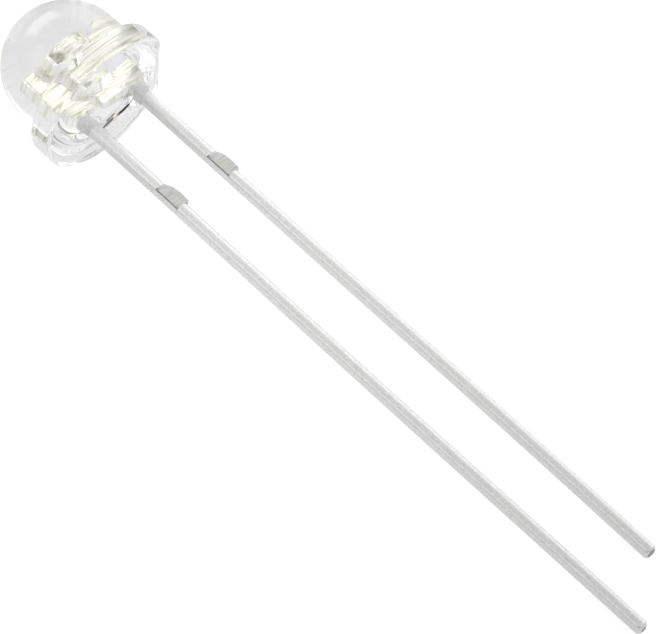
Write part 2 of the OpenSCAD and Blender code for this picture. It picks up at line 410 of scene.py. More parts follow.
def bow(z, length, phase):
    """Sideways wander of a bar: none at the flange and at the tip."""
    along = -z / length
    if not 0 < along < 1:
        return (0, 0)
    fade = math.sin(math.pi * along)
    return (BOW_X * fade * math.sin(BOW_WAVE_X * along + phase),
            BOW_Y * fade * math.cos(BOW_WAVE_Y * along + phase))


def bar_heights(start):
    """Heights of the loops, from the tip up, closer together at the stub."""
    heights = [start]
    z = start
    while z < BAR_TOP:
        near_stub = -STUB_Z - STUB_L - STUB_MARGIN < z < -STUB_Z + STUB_MARGIN
        z += STEP_FINE if near_stub else STEP_LONG
        heights.append(min(z, BAR_TOP))
    return heights


print(f"the bars end {BAR_TOP:.2f} mm above the flange's underside")

# %% Leads: the rounded tip
HALF_BAR = LEAD_T / 2 - CROWN
TIP_STEPS = 8
TIP_CORNER = 0.03
TIP_SHARPENING = 0.6


def tip_loops(lead_x, length, tip_r):
    """Loops that round off the end of a bar."""
    loops = []
    for i in range(TIP_STEPS):
        angle = math.pi / 2 * i / TIP_STEPS
        inset = tip_r * (1 - math.sin(angle))
        rise = tip_r * (1 - math.cos(angle))
        low = -HALF_BAR + inset
        corner = max(TIP_CORNER, LEAD_R - inset * TIP_SHARPENING)
        crown = CROWN * (1 - inset / tip_r)
        loops.append(bar_loop(low, -low, -low, [corner] * 4, crown, -length + rise, (lead_x, 0)))
    return loops


# %% Leads: the whole bar
ANODE_L = -anode_low.z
CATHODE_L = -cathode_low.z
ANODE_STUB = 0.11
CATHODE_STUB = 0.07
ANODE_TIP_R = 0.19
CATHODE_TIP_R = 0.15
ANODE_PHASE = 0.4
CATHODE_PHASE = 2.0
BROKEN_R = 0.02
CUT_R = 0.015
CUT_BLEND = 0.3


def soft_step(t):
    """A smooth rise from 0 to 1 while t goes from 0 to 1."""
    return t * t * (3 - 2 * t)


def lead_bar(name, lead_x, length, proud, phase, tip_r):
    """A lead from its tip up into the resin, with the stub of the tie bar on its -x side."""
    loops = tip_loops(lead_x, length, tip_r)
    for z in bar_heights(-length + tip_r + STEP_FINE):
        sway = bow(z, length, phase)
        shift = (lead_x + sway[0], sway[1])
        along = stub_along(z)
        if 0 <= along <= 1:
            blend = min(1, along / CUT_BLEND)
            cut = LEAD_R + (CUT_R - LEAD_R) * soft_step(blend)
            low = -HALF_BAR - proud * along - hump(STUB_BULGE, along)
            radii = [BROKEN_R, cut, cut, LEAD_R]
            loops.append(bar_loop(low, HALF_BAR, HALF_BAR, radii, CROWN * (1 - blend), z, shift))
        else:
            loops.append(bar_loop(-HALF_BAR, HALF_BAR, HALF_BAR, [LEAD_R] * 4, CROWN, z, shift))
    return skin(name, loops, (lead_x, 0, -length), (lead_x, 0, BAR_TOP))


anode_bar = lead_bar(
    "anode_bar", LEAD_X, ANODE_L, ANODE_STUB, ANODE_PHASE, ANODE_TIP_R)
cathode_bar = lead_bar(
    "cathode_bar", -LEAD_X, CATHODE_L, CATHODE_STUB, CATHODE_PHASE, CATHODE_TIP_R)
report(anode_bar)
report(cathode_bar)

# %% [markdown]
# ## The heads of the lead frame
# Above the flange's underside the strip widens into two webs. The cathode's web slopes up to the
# coined head with the reflector cup and has a shoulder beside it, and the anode's web rises as a
# post. A stamped web is a flat outline pushed through the strip's thickness, with edges that the
# punch has rolled over, so it is a filled outline, thickened and bevelled. A filled curve with an
# extrude and a bevel would draw it too, but its caps come loose from its sides when it becomes a
# mesh, and the Boolean below needs a closed body.

# %% Heads: a stamped web
WEB_INSET = 0.002
BEVEL_STEPS = 4
ROUND_PROFILE = 0.5


def web(name, outline, edge_r):
    """A stamped plate in the plane of the lead frame, from an outline of (x, z) pairs."""
    bm = bmesh.new()
    half = LEAD_T / 2 - WEB_INSET
    front = [bm.verts.new((x, -half, z)) for x, z in outline]
    face = bm.faces.new(front)
    grown = bmesh.ops.extrude_face_region(bm, geom=[face])
    back = [v for v in grown["geom"] if isinstance(v, bmesh.types.BMVert)]
    bmesh.ops.translate(bm, verts=back, vec=(0, 2 * half, 0))
    bmesh.ops.recalc_face_normals(bm, faces=bm.faces)
    bmesh.ops.bevel(bm, geom=bm.edges[:], offset=edge_r, segments=BEVEL_STEPS,
                    profile=ROUND_PROFILE, affect="EDGES")
    bm.transform(LAMP_MM)
    mesh = bpy.data.meshes.new(name)
    bm.to_mesh(mesh)
    bm.free()
    mesh.shade_smooth()
    return in_scene(name, mesh)


# %% Heads: the two webs
WEB_OUT = 1.65
WEB_REACH = 0.35
FRAME_GAP = 0.25
SLOPE_Z = 1.3
RIM_Z = 2.45
HEAD_R = 0.75
HEAD_H = 0.6
HEAD_Z = RIM_Z - HEAD_H
HEAD_LAP = 0.1
POST_Z = 2.5
POST_IN = HEAD_R + FRAME_GAP
SHOULDER_Z = 2.6
SHOULDER_IN = 1.1
SHOULDER_OFF = 0.08
SHOULDER_RISE = 0.3
WEB_EDGE_R = 0.06
POST_EDGE_R = 0.12

cathode_outline = (
    (-WEB_OUT, WEB_Z),
    (WEB_REACH, WEB_Z),
    (WEB_REACH, SLOPE_Z),
    (HEAD_R - HEAD_LAP, HEAD_Z),
    (HEAD_R - HEAD_LAP, HEAD_Z + HEAD_LAP),
    (-HEAD_R + HEAD_LAP, HEAD_Z + HEAD_LAP),
    (-HEAD_R - SHOULDER_OFF, HEAD_Z + SHOULDER_RISE),
    (-SHOULDER_IN, SHOULDER_Z),
    (-WEB_OUT, SHOULDER_Z),
)
anode_outline = (
    (WEB_REACH + FRAME_GAP, WEB_Z),
    (WEB_OUT, WEB_Z),
    (WEB_OUT, POST_Z),
    (POST_IN, POST_Z),
    (POST_IN, HEAD_Z),
    (WEB_REACH + FRAME_GAP, SLOPE_Z),
)
cathode_web = web("cathode_web", cathode_outline, WEB_EDGE_R)
anode_web = web("anode_web", anode_outline, POST_EDGE_R)
report(cathode_web)
report(anode_web)

# %% [markdown]
# The head of the cathode was coined: a punch pressed a cone into it, which pushed the metal out
# into a round collar. A revolved profile gives the collar, the narrow lip and the cone in one. An
# exact Boolean then joins bar, web and head, so each lead is one closed piece, as it is in the
# strip. Pieces that merely overlap would look the same, but their hidden faces would show through
# the clear resin as soon as one of them stood a hair proud.

# %% Heads: the cup
CUP_R = 0.55
CUP_FLOOR_R = 0.31
CUP_DEPTH = 0.38
FLOOR_Z = RIM_Z - CUP_DEPTH
LIP_R = 0.03
LIP_OUT_STEPS = 5
LIP_IN_STEPS = 4
LIP_END = 155
CHAMFER = 0.02
NECK_R = LEAD_T / 2
NECK_Z = HEAD_Z - (HEAD_R - NECK_R)
CUP_SIDES = 96


def revolve(name, profile, sides, first_z, last_z):
    """Turns a profile of (radius, height) pairs round the lamp's axis."""
    turns = turn_angles(sides)
    loops = [[(r * math.cos(a), r * math.sin(a), z) for a in turns] for r, z in profile]
    return skin(name, loops, (0, 0, first_z), (0, 0, last_z))


def cup_profile():
    """Profile of the coined head: neck, collar, lip and the cone down to the cup's floor."""
    collar = [(NECK_R, NECK_Z), (HEAD_R - CHAMFER, HEAD_Z - CHAMFER), (HEAD_R, HEAD_Z + CHAMFER)]
    lip_out = arc((HEAD_R - LIP_R, RIM_Z - LIP_R), LIP_R, 0, 90, LIP_OUT_STEPS)
    lip_in = arc((CUP_R + LIP_R, RIM_Z - LIP_R), LIP_R, 90, LIP_END, LIP_IN_STEPS)
    floor_edge = [(CUP_FLOOR_R + LIP_R, FLOOR_Z + LIP_R), (CUP_FLOOR_R, FLOOR_Z)]
    return collar + lip_out + lip_in + floor_edge


cup = revolve("cup_head", cup_profile(), CUP_SIDES, NECK_Z, FLOOR_Z)
report(cup)


# %% Heads: each lead joined
def join_solids(base, *others):
    """Adds the other pieces to the base with an exact Boolean, and deletes them."""
    bpy.context.view_layer.objects.active = base
    for other in others:
        union = base.modifiers.new("join", "BOOLEAN")
        union.operation = "UNION"
        union.solver = "EXACT"
        union.object = other
        bpy.ops.object.modifier_apply(modifier=union.name)
        bpy.data.objects.remove(other)
    return base


anode = join_solids(anode_bar, anode_web)
cathode = join_solids(cathode_bar, cathode_web, cup)
anode.name = "tinned_anode"
cathode.name = "tinned_cathode"
report(anode)
report(cathode)

# %% [markdown]
# ## Phosphor and wires
# The phosphor fills the cup and stands over its rim in a low crown, as a drop that cured. A scaled
# sphere would bulge too much at its edge. A revolved profile of the cone and one flat arc has the
# true contact with the lip.

# %% Phosphor fill
CROWN_H = 0.12
SKIN_GAP = 0.001
CONE_STEPS = 6
DROP_STEPS = 14


def phosphor_profile():
    """The cone of the cup, a hair smaller, and the crown over its rim."""
    crown_r = (CUP_R ** 2 + CROWN_H ** 2) / (2 * CROWN_H)
    half = math.degrees(math.asin(CUP_R / crown_r))
    cone = []
    for i in range(CONE_STEPS + 1):
        t = i / CONE_STEPS
        cone.append((CUP_FLOOR_R - SKIN_GAP + (CUP_R - CUP_FLOOR_R) * t,
                     RIM_Z - CUP_DEPTH * (1 - t) + SKIN_GAP))
    crown = arc((0, RIM_Z + CROWN_H - crown_r), crown_r, 90 - half, 90, DROP_STEPS)
    return cone + crown[1:-1]


phosphor = revolve("phosphor_drop", phosphor_profile(), CUP_SIDES, FLOOR_Z + SKIN_GAP,
                   RIM_Z + CROWN_H)
report(phosphor)

# %% [markdown]
# Two gold wires leave the chip: each starts in a ball, rises, bends over once and runs straight
# down to a flat stitch, one on the post and one on the cup's rim. A bevelled curve makes the tube
# but neither end. Here the ball, the tube and the stitch are loops of one stack. The ring at each
# station stands square to the path, which the two neighbouring stations give.

# %% Bond wires: the path
PAD_X = 0.08
CHIP_TOP_H = 0.15
PAD_Z = FLOOR_Z + CHIP_TOP_H
LOOP_R = 0.12
LOOP_TOP = 0.2
ONTO_POST = 0.2
ONTO_RIM = 0.1
FOOT_H = 0.015
RISE_STEPS = 6
BEND_STEPS = 12
RUN_STEPS = 8


def wire_path(foot_x, foot_z):
    """Middle line of a wire in the plane of the lead frame, as (x, z) pairs."""
    bend = (PAD_X + LOOP_R, RIM_Z + LOOP_TOP - LOOP_R)
    end = (foot_x, foot_z + FOOT_H)
    aim = (end[0] - bend[0], end[1] - bend[1])
    leave = math.atan2(aim[1], aim[0]) + math.acos(LOOP_R / math.hypot(*aim))
    rise = [(PAD_X, PAD_Z + (bend[1] - PAD_Z) * i / RISE_STEPS) for i in range(RISE_STEPS)]
    over = arc(bend, LOOP_R, 180, math.degrees(leave), BEND_STEPS)
    start = over[-1]
    run = [(start[0] + (end[0] - start[0]) * i / RUN_STEPS,
            start[1] + (end[1] - start[1]) * i / RUN_STEPS) for i in range(1, RUN_STEPS + 1)]
    return rise + over + run


print("stations along a wire:", len(wire_path(POST_IN + ONTO_POST, POST_Z)))

# %% Bond wires: ball, tube and stitch
WIRE_R = 0.015
WIRE_SIDES = 12
BALL_R = 0.045
BALL_START = -28
BALL_END = 60
BALL_STEPS = 5
FOOT_R = 0.045
FOOT_NECK = 0.6
FOOT_NECK_Z = 0.006
FOOT_EDGE_Z = -0.002
ACROSS = Vector((0, 1, 0))


def wire(name, side, foot_x, foot_z):
    """A wire towards one side of the chip: ball, tube and stitch."""
    path = [(side * x, z) for x, z in wire_path(foot_x, foot_z)]
    around = turn_angles(WIRE_SIDES)
    start_x = path[0][0]
    loops = []
    for r, z in arc((0, BALL_R / 2), BALL_R, BALL_START, BALL_END, BALL_STEPS):
        loops.append([(start_x + r * math.cos(a), r * math.sin(a), PAD_Z + z) for a in around])
    for behind, (x, z), ahead in zip(path, path[1:], path[2:]):
        run = Vector((ahead[0] - behind[0], 0, ahead[1] - behind[1])).normalized()
        out = ACROSS.cross(run)
        loops.append([tuple(Vector((x, 0, z)) + WIRE_R * (math.cos(a) * out + math.sin(a) * ACROSS))
                      for a in around])
    end_x, end_z = path[-1]
    neck = (FOOT_R * FOOT_NECK, end_z + FOOT_NECK_Z)
    for r, z in (neck, (FOOT_R, end_z + FOOT_EDGE_Z), (FOOT_R, foot_z)):
        loops.append([(end_x - r * math.cos(a), r * math.sin(a), z) for a in around])
    return skin(name, loops, (start_x, 0, PAD_Z), (end_x, 0, foot_z))


wire_to_anode = wire("gold_wire_anode", 1, POST_IN + ONTO_POST, POST_Z)
wire_to_cathode = wire("gold_wire_cathode", -1, CUP_R + ONTO_RIM, RIM_Z)
report(wire_to_anode)
report(wire_to_cathode)

# %% [markdown]
# ## Two dark slivers
# Low in the flange, between the leads, the real lamp shows a thin dark bar that glints like
# bronze at one point, with a shorter one beside it: a dark reflection inside the resin. Here each
# is a painted reflection, a dark body that lies in the underside. A painted mark on the underside
# would look flat from the side, so each sliver is a thin body of its own: elliptical rings along a
# line, with a waist that comes and goes, which follow the height of the underside that they lie in.

# %% Dark slivers, a painted reflection
# The two slivers are dark bodies that paint a dark reflection in the resin.
SLIVER_STEPS = 24
SLIVER_SIDES = 12
SLIVER_REACH = FLANGE_R - RIM_R
SLIVER_SINK = 0.3
SLIVER_TAPER = 0.35
WAIST = 0.12
WAISTS = 9
LONG_SLIVER_START = (0.595, -0.66)
LONG_SLIVER_END = (-0.635, 0.0)
LONG_SLIVER_WIDTH = 0.22
LONG_SLIVER_T = 0.05
SHORT_SLIVER_START = (0.46, -0.27)
SHORT_SLIVER_END = (0.10, -0.05)
SHORT_SLIVER_WIDTH = 0.11
SHORT_SLIVER_T = 0.04


def dark_sliver(name, start, end, width, thick):
    """A thin dark body in the skin of the underside between two points, a painted reflection."""
    run = Vector(end) - Vector(start)
    side = Vector((-run.y, run.x)).normalized()
    loops = []
    for i in range(1, SLIVER_STEPS):
        t = i / SLIVER_STEPS
        taper = math.sin(math.pi * t) ** SLIVER_TAPER
        half = width / 2 * taper * (1 + WAIST * math.sin(WAISTS * t))
        x = start[0] + run.x * t
        y = start[1] + run.y * t
        z = underside(x, y, SLIVER_REACH) - thick * SLIVER_SINK
        ring = [(half * math.cos(a), thick / 2 * math.sin(a)) for a in turn_angles(SLIVER_SIDES)]
        loops.append([(x + side.x * u, y + side.y * u, z + v) for u, v in ring])
    first = (*start, underside(*start, SLIVER_REACH))
    last = (*end, underside(*end, SLIVER_REACH))
    return skin(name, loops, first, last)


long_sliver = dark_sliver(
    "dark_reflection_sliver", LONG_SLIVER_START, LONG_SLIVER_END, LONG_SLIVER_WIDTH, LONG_SLIVER_T)
short_sliver = dark_sliver(
    "short_sliver", SHORT_SLIVER_START, SHORT_SLIVER_END, SHORT_SLIVER_WIDTH, SHORT_SLIVER_T)
report(long_sliver)
report(short_sliver)

# %% [markdown]
# ## Finishes
# Each finish is a node tree with a Principled shader of its own. It could be wired by hand, node
# by node, but a few small helpers keep the trees readable. One fills a socket with a value or with
# another node's output, and one adds a node with its sockets filled. One starts a material, one
# makes a colour ramp, one mixes two colours, and one turns a height into a bumped normal.

# %% Helpers for node trees
def plug(tree, socket, value):
    """Gives a socket a fixed value, or links it to another node's output."""
    if isinstance(value, bpy.types.NodeSocket):
        tree.links.new(value, socket)
    else:
        socket.default_value = value


def add(tree, kind, *inputs, operation=None, group=None, **named):
    """Adds a node. Its inputs are filled by their place or by their name."""
    node = tree.nodes.new(kind)
    if operation:
        node.operation = operation
    if group:
        node.node_tree = group
    for place, value in enumerate(inputs):
        plug(tree, node.inputs[place], value)
    for name, value in named.items():
        plug(tree, node.inputs[name.replace("_", " ")], value)
    return node


def finish_of(name, metallic=0.0, roughness=0.5):
    """A new material, with its tree and its Principled shader."""
    look = bpy.data.materials.new(name)
    look.use_nodes = True
    shader = look.node_tree.nodes["Principled BSDF"]
    shader.inputs["Roughness"].default_value = roughness
    shader.inputs["Metallic"].default_value = metallic
    return look, look.node_tree, shader


def tones(tree, source, *stops):
    """A colour ramp through (place, colour) pairs; gives its colour."""
    ramp = tree.nodes.new("ShaderNodeValToRGB")
    while len(ramp.color_ramp.elements) < len(stops):
        ramp.color_ramp.elements.new(0.5)
    for element, (at, colour) in zip(ramp.color_ramp.elements, stops):
        element.position = at
        element.color = (*colour, 1)
    tree.links.new(source, ramp.inputs["Fac"])
    return ramp.outputs["Color"]


def mixed(tree, amount, start, stop):
    """A colour that goes from one to another as the amount goes from 0 to 1."""
    mix = tree.nodes.new("ShaderNodeMix")
    mix.data_type = "RGBA"
    plug(tree, mix.inputs["Factor"], amount)
    plug(tree, mix.inputs["A"], start)
    plug(tree, mix.inputs["B"], stop)
    return mix.outputs["Result"]


def relief(tree, shader, height, strength, depth):
    """Bumps a shader's normal by a height; the depth is in metres."""
    bump = add(tree, "ShaderNodeBump", Strength=strength, Distance=depth, Height=height)
    tree.links.new(bump.outputs["Normal"], shader.inputs["Normal"])


# %% [markdown]
# Three effects serve several finishes, so each is a node group. The first gives a place in lamp
# millimetres, so that streaks run along the lamp and not along the tilted table. The second is a
# grain: noise in those millimetres, which a stretch pulls into streaks. The third is a mask for
# what faces one way, such as the side of a dark sliver that looks into the resin. UV maps could
# steer all this as well, but solid coordinates need no seams and carry on round every edge. Small
# helpers then place each group in a material, with values of its own.

# %% Shared effects as node groups
VALUE = "NodeSocketFloat"
VECTOR = "NodeSocketVector"


def new_group(name, takes, gives):
    """An empty node group with named inputs and one output, and the ends of its tree."""
    group = bpy.data.node_groups.new(name, "ShaderNodeTree")
    for socket, kind in takes:
        group.interface.new_socket(socket, in_out="INPUT", socket_type=kind)
    group.interface.new_socket(gives[0], in_out="OUTPUT", socket_type=gives[1])
    inward = group.nodes.new("NodeGroupInput")
    outward = group.nodes.new("NodeGroupOutput")
    return group, inward.outputs, outward.inputs


lamp_place, _, gives = new_group("lamp_millimetres", (), ("Place", VECTOR))
texture_place = add(lamp_place, "ShaderNodeTexCoord")
into_lamp = add(lamp_place, "ShaderNodeMapping", texture_place.outputs["Object"])
into_lamp.vector_type = "TEXTURE"
into_lamp.inputs["Location"].default_value = seat
into_lamp.inputs["Rotation"].default_value = LAMP.to_euler()
into_lamp.inputs["Scale"].default_value = (MM, MM, MM)
plug(lamp_place, gives["Place"], into_lamp.outputs["Vector"])

lamp_grain, takes, gives = new_group(
    "lamp_grain", (("Stretch", VECTOR), ("Scale", VALUE), ("Detail", VALUE)), ("Grain", VALUE))
place = add(lamp_grain, "ShaderNodeGroup", group=lamp_place)
pulled = add(lamp_grain, "ShaderNodeVectorMath", place.outputs["Place"], takes["Stretch"],
             operation="MULTIPLY")
grain = add(lamp_grain, "ShaderNodeTexNoise", Vector=pulled.outputs["Vector"],
            Scale=takes["Scale"], Detail=takes["Detail"])
plug(lamp_grain, gives["Grain"], grain.outputs["Fac"])

facing_mask, takes, gives = new_group(
    "facing_mask", (("Axis", VECTOR), ("Low", VALUE), ("High", VALUE)), ("Mask", VALUE))
surface = add(facing_mask, "ShaderNodeNewGeometry")
turned = add(facing_mask, "ShaderNodeVectorMath", surface.outputs["Normal"], takes["Axis"],
             operation="DOT_PRODUCT")
mask = add(facing_mask, "ShaderNodeMapRange", Value=turned.outputs["Value"],
           From_Min=takes["Low"], From_Max=takes["High"])
plug(facing_mask, gives["Mask"], mask.outputs["Result"])
print("node groups:", ", ".join(group.name for group in bpy.data.node_groups))


# %% Helpers that place the groups
def grain_in(tree, stretch, scale, detail):
    """Noise in lamp millimetres, pulled along the lamp's axes."""
    node = add(tree, "ShaderNodeGroup", group=lamp_grain,
               Stretch=stretch, Scale=scale, Detail=detail)
    return node.outputs["Grain"]


def facing(tree, axis, low, high):
    """1 where the surface faces an axis, 0 where it faces away."""
    node = add(tree, "ShaderNodeGroup", group=facing_mask, Axis=axis, Low=low, High=high)
    return node.outputs["Mask"]


def lamp_axis(tree, letter):
    """One of the lamp's own coordinates, in millimetres."""
    place = add(tree, "ShaderNodeGroup", group=lamp_place)
    split = add(tree, "ShaderNodeSeparateXYZ", place.outputs["Place"])
    return split.outputs[letter]


def between(tree, source, start, stop, low=0.0, high=1.0):
    """A value that goes from low to high while the source goes from start to stop."""
    node = add(tree, "ShaderNodeMapRange", Value=source, From_Min=start, From_Max=stop,
               To_Min=low, To_Max=high)
    return node.outputs["Result"]


def times(tree, one, two):
    """The product of two values."""
    return add(tree, "ShaderNodeMath", one, two, operation="MULTIPLY").outputs["Value"]


def shaded(tree, colour, amount):
    """A colour made darker by a value that changes over the surface."""
    node = add(tree, "ShaderNodeVectorMath", colour, operation="SCALE", Scale=amount)
    return node.outputs["Vector"]


# %% [markdown]
# ### Clear resin
# Cured epoxy is as clear as glass and polished by its mould, with a refractive index of 1.53. A
# Transparent shader would show the frame unbent. Full transmission bends it as the lamp does. Two
# things need care. A ray that stays trapped in the body would end black at the bounce limit, so
# rays that have met many surfaces turn white, the tone of the room that they would have reached.
# And light has to reach the table through the body, so shadow rays pass straight through. A thin
# absorption gives the resin its faint grey depth.

# %% Finish: clear resin
RESIN_IOR = 1.53
RESIN_TINT = (0.975, 0.975, 0.985, 1)
SHADOW_TINT = (0.93, 0.93, 0.93, 1)
DEPTH_TINT = (0.0, 0.0, 0.05, 1)
DEPTH_DENSITY = 10
TRAPPED_DEPTH = 7.5

resin_look, tree, shader = finish_of("clear_resin", roughness=0.0)
shader.inputs["Base Color"].default_value = RESIN_TINT
shader.inputs["IOR"].default_value = RESIN_IOR
shader.inputs["Transmission Weight"].default_value = 1.0
light_path = add(tree, "ShaderNodeLightPath")
see_through = add(tree, "ShaderNodeBsdfTransparent", Color=SHADOW_TINT)
white_room = add(tree, "ShaderNodeEmission")
clear_body = add(tree, "ShaderNodeMixShader", light_path.outputs["Is Shadow Ray"],
                 shader.outputs["BSDF"], see_through.outputs["BSDF"])
trapped = add(tree, "ShaderNodeMath", light_path.outputs["Ray Depth"], TRAPPED_DEPTH,
              operation="GREATER_THAN")
lit_depths = add(tree, "ShaderNodeMixShader", trapped.outputs["Value"],
                 clear_body.outputs["Shader"], white_room.outputs["Emission"])
grey_depth = add(tree, "ShaderNodeVolumeAbsorption", Color=DEPTH_TINT, Density=DEPTH_DENSITY)
plug(tree, tree.nodes["Material Output"].inputs["Surface"], lit_depths.outputs["Shader"])
plug(tree, tree.nodes["Material Output"].inputs["Volume"], grey_depth.outputs["Volume"])
print("clear resin:", len(tree.nodes), "nodes")

# %% [markdown]
# ### Tin
# The leads are dipped in tin, which cools in soft blotches. Tin is a grey metal with a satin
# finish: one roughness would look like chrome or like plaster, so it is smoother down the lead,
# and duller near the flange, where flux and resin have touched it. Near the flange it is also
# painted paler, a painted light. Towards the tips it is painted a little darker, a painted shade,
# but not on the side where the tie bar was. A fine relief breaks up the reflections.

# %% Finish: tin
TIN_DARK = (0.62, 0.62, 0.615)
TIN_LIGHT = (0.75, 0.75, 0.745)
SATIN_TO = -3.0
DULL_FROM = -0.2
# Painted shade towards the tips, and painted light near the flange:
TIP_SHADE_FROM = -7.0
TIP_SHADE_TO = -27.0
TIP_SHADE_AMOUNT = 0.18
ROOT_PAINTED_LIGHT = 1.12

tin_look, tree, shader = finish_of("tin", metallic=1.0)
blotches = grain_in(tree, stretch=(1, 1, 0.6), scale=16, detail=3)
tin_tone = tones(tree, blotches, (0.3, TIN_DARK), (0.7, TIN_LIGHT))
along_lead = lamp_axis(tree, "Z")
dullness = between(tree, along_lead, SATIN_TO, DULL_FROM, low=0.35, high=0.6)
plug(tree, shader.inputs["Roughness"], dullness)
# Painted shade: darker towards the tips, but not on the -x side, where the tie bar was.
tip_shade = between(tree, along_lead, TIP_SHADE_FROM, TIP_SHADE_TO, high=TIP_SHADE_AMOUNT)
painted_tip_shade = times(tree, tip_shade, facing(tree, axis_x, low=-0.6, high=-0.1))
unshaded_share = add(tree, "ShaderNodeMath", 1.0, painted_tip_shade, operation="SUBTRACT").outputs["Value"]
# Painted light: paler near the flange.
root_painted_light = between(tree, along_lead, SATIN_TO, DULL_FROM, low=1.0, high=ROOT_PAINTED_LIGHT)
plug(tree, shader.inputs["Base Color"], shaded(tree, tin_tone, times(tree, unshaded_share, root_painted_light)))
fine_grain = grain_in(tree, stretch=(1, 1, 1), scale=26, detail=2)
relief(tree, shader, fine_grain, strength=0.5, depth=0.00001)
print("tin:", len(tree.nodes), "nodes")

# %% [markdown]
# ### Sheared and bare metal
# Where the press cut the tie bar, the tin is smeared over the cut in fine lines along the stroke,
# darker than the dipped faces. At the tips, where the strip broke off, the bare steel shows, darker
# still. The same dark finish is laid along the stub's sharp corner as a painted shade. An image of
# a scratched plate could be laid over both, but the same grain serves with other values: for the
# shear its stretch pulls the noise into hatching across the lead, and for the break into short
# fibres along it.

# %% Finish: sheared tin
SHEARED_DARK = (0.40, 0.405, 0.385)
SHEARED_LIGHT = (0.62, 0.625, 0.60)

sheared_look, tree, shader = finish_of("sheared", metallic=1.0, roughness=0.5)
hatch = grain_in(tree, stretch=(0.5, 1, 9), scale=3.5, detail=3)
sheared_tone = tones(tree, hatch, (0.3, SHEARED_DARK), (0.7, SHEARED_LIGHT))
plug(tree, shader.inputs["Base Color"], sheared_tone)
relief(tree, shader, hatch, strength=0.3, depth=0.00001)
print("sheared tin:", len(tree.nodes), "nodes")

# %% Finish: bare steel
BARE_DARK = (0.24, 0.235, 0.23)
BARE_LIGHT = (0.36, 0.36, 0.355)

bare_look, tree, shader = finish_of("bare", metallic=1.0)
torn = grain_in(tree, stretch=(4, 4, 1), scale=4, detail=4)
bare_tone = tones(tree, torn, (0.3, BARE_DARK), (0.7, BARE_LIGHT))
plug(tree, shader.inputs["Base Color"], bare_tone)
plug(tree, shader.inputs["Roughness"], between(tree, torn, 0.3, 0.7, low=0.42, high=0.6))
relief(tree, shader, torn, strength=0.6, depth=0.00002)
print("bare steel:", len(tree.nodes), "nodes")

# %% [markdown]
# ### Silver
# Inside the resin the frame is plated with silver, so that it throws the light of the chip out. It
# is bright and a little yellow, and the yellow is partly painted light from the phosphor beside it.
# Rolling has left streaks along the strip on its flat faces, and stamping has left marks across its
# cut edges, so there are two finishes with the grain pulled in two ways. The relief is strong: seen
# through the underside, it breaks the bright faces into shreds of light. Two places on the flat
# faces are painted dim, a painted shade that stands for dark reflections in the metal; each is a
# ball round a point, with a soft edge. The post is painted a little brighter, a painted light.

# %% Finish: silver on the flat faces
# The yellow in these tones is partly painted light from the phosphor.
SILVER_DARK = (0.56, 0.56, 0.46)
SILVER_MID = (0.78, 0.78, 0.68)
SILVER_LIGHT = (0.89, 0.89, 0.815)
# Two spots of painted shade, for dark reflections, and painted light on the post:
NEAR_SPOT = (0.62, 0.5, 2.02)
NEAR_SHADE = 0.62
FAR_SPOT = (-1.6, 0.25, 1.3)
FAR_SHADE = 0.5
POST_PAINTED_LIGHT = 1.1


def painted_shade_spot(tree, centre, inner_r, outer_r, shade):
    """A painted shade: a factor that is low inside a ball round a point and 1 outside it."""
    place = add(tree, "ShaderNodeGroup", group=lamp_place)
    away = add(tree, "ShaderNodeVectorMath", place.outputs["Place"], centre, operation="DISTANCE")
    return between(tree, away.outputs["Value"], inner_r, outer_r, shade, 1.0)


silver_look, tree, shader = finish_of("silver", metallic=1.0, roughness=0.3)
streaks = grain_in(tree, stretch=(0.35, 5, 5), scale=1.6, detail=9)
silver_tone = tones(tree, streaks, (0.36, SILVER_DARK), (0.46, SILVER_MID), (0.6, SILVER_LIGHT))
near_painted_shade = painted_shade_spot(tree, NEAR_SPOT, inner_r=0.34, outer_r=0.42, shade=NEAR_SHADE)
far_painted_shade = painted_shade_spot(tree, FAR_SPOT, inner_r=0.05, outer_r=0.34, shade=FAR_SHADE)
painted_post_light = between(tree, lamp_axis(tree, "X"), HEAD_R, POST_IN, low=1.0, high=POST_PAINTED_LIGHT)
# Painted shade and painted light together, multiplied into the silver's tone.
shade = times(tree, times(tree, near_painted_shade, far_painted_shade), painted_post_light)
plug(tree, shader.inputs["Base Color"], shaded(tree, silver_tone, shade))
relief(tree, shader, streaks, strength=0.9, depth=0.0001)
print("silver:", len(tree.nodes), "nodes")

# %% Finish: silver on the cut edges
# The yellow in these tones is partly painted light from the phosphor.
CUT_DARK = (0.75, 0.75, 0.67)
CUT_MID = (0.92, 0.92, 0.855)
CUT_LIGHT = (0.99, 0.99, 0.95)

cut_silver_look, tree, shader = finish_of("cut_silver", metallic=1.0, roughness=0.3)
marks = grain_in(tree, stretch=(3, 0.5, 3), scale=1.6, detail=3)
cut_tone = tones(tree, marks, (0.33, CUT_DARK), (0.45, CUT_MID), (0.56, CUT_LIGHT))
plug(tree, shader.inputs["Base Color"], cut_tone)
relief(tree, shader, marks, strength=0.8, depth=0.0001)
print("silver of the cut edges:", len(tree.nodes), "nodes")

# %% [markdown]
# ### Phosphor, chip, adhesive and gold
# Phosphor is a yellow powder in resin: matte, with grains and a few paler patches where it settled
# thinly. The chip is polished sapphire, and its adhesive a dull cream with pores. Gold wire has
# fine lines along it from the die that it was drawn through. They are small, and a flat colour
# would nearly do, but the dome works as a magnifier and shows the cup larger than it is.

# %% Finish: phosphor
POWDER_DARK = (0.90, 0.88, 0.47)
POWDER_LIGHT = (0.95, 0.94, 0.60)

